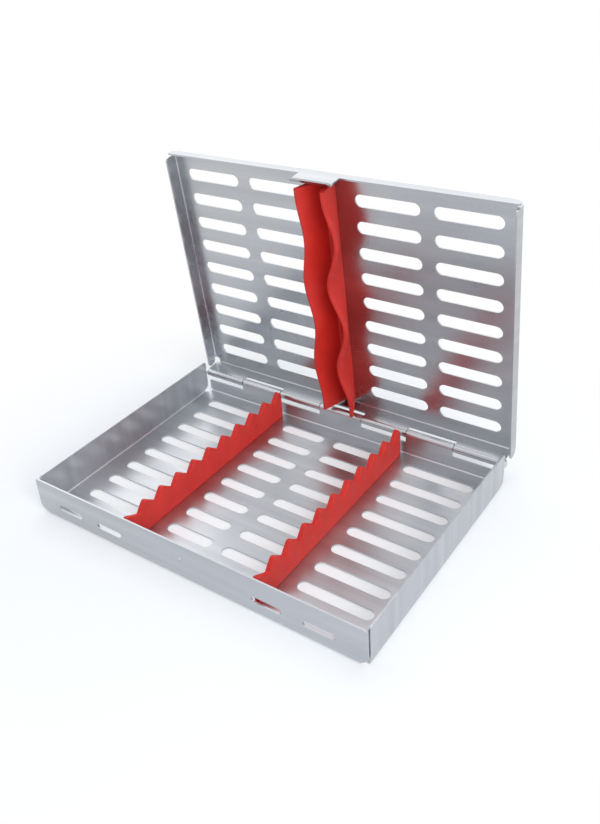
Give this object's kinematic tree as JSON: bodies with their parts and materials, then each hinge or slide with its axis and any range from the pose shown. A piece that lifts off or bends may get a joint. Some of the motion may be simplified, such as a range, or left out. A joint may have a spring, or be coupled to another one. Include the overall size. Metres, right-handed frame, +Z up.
{
  "type": "dental instrument cassette",
  "caption": "Hinged perforated steel cassette with notched silicone rails, a wavy silicone hold-down in the lid and a sprung front latch.",
  "frame": {"origin": "centre of the underside of the tray floor", "axes": "+X along the hinge to the right, +Y to the hinge side, +Z up"},
  "size_m": [0.1842, 0.1404, 0.1438],
  "materials": {
    "tray_steel": "satin rolled stainless sheet",
    "lid_steel": "satin rolled stainless sheet",
    "pin_steel": "drawn stainless wire",
    "red_silicone": "matte moulded silicone"
  },
  "bodies": {
    "tray": {"tray_sheet": "tray_steel", "hinge_pin": "pin_steel", "left_rail": "red_silicone", "right_rail": "red_silicone"},
    "lid": {"lid_sheet": "lid_steel", "lid_hold_down": "red_silicone"}
  },
  "joints": [
    {"name": "lid_hinge", "type": "hinge", "parent": "tray", "child": "lid", "pos_m": [0, 0.0659, 0.0112], "axis": [-1, 0, 0], "range_deg": [-84, 96]}
  ]
}
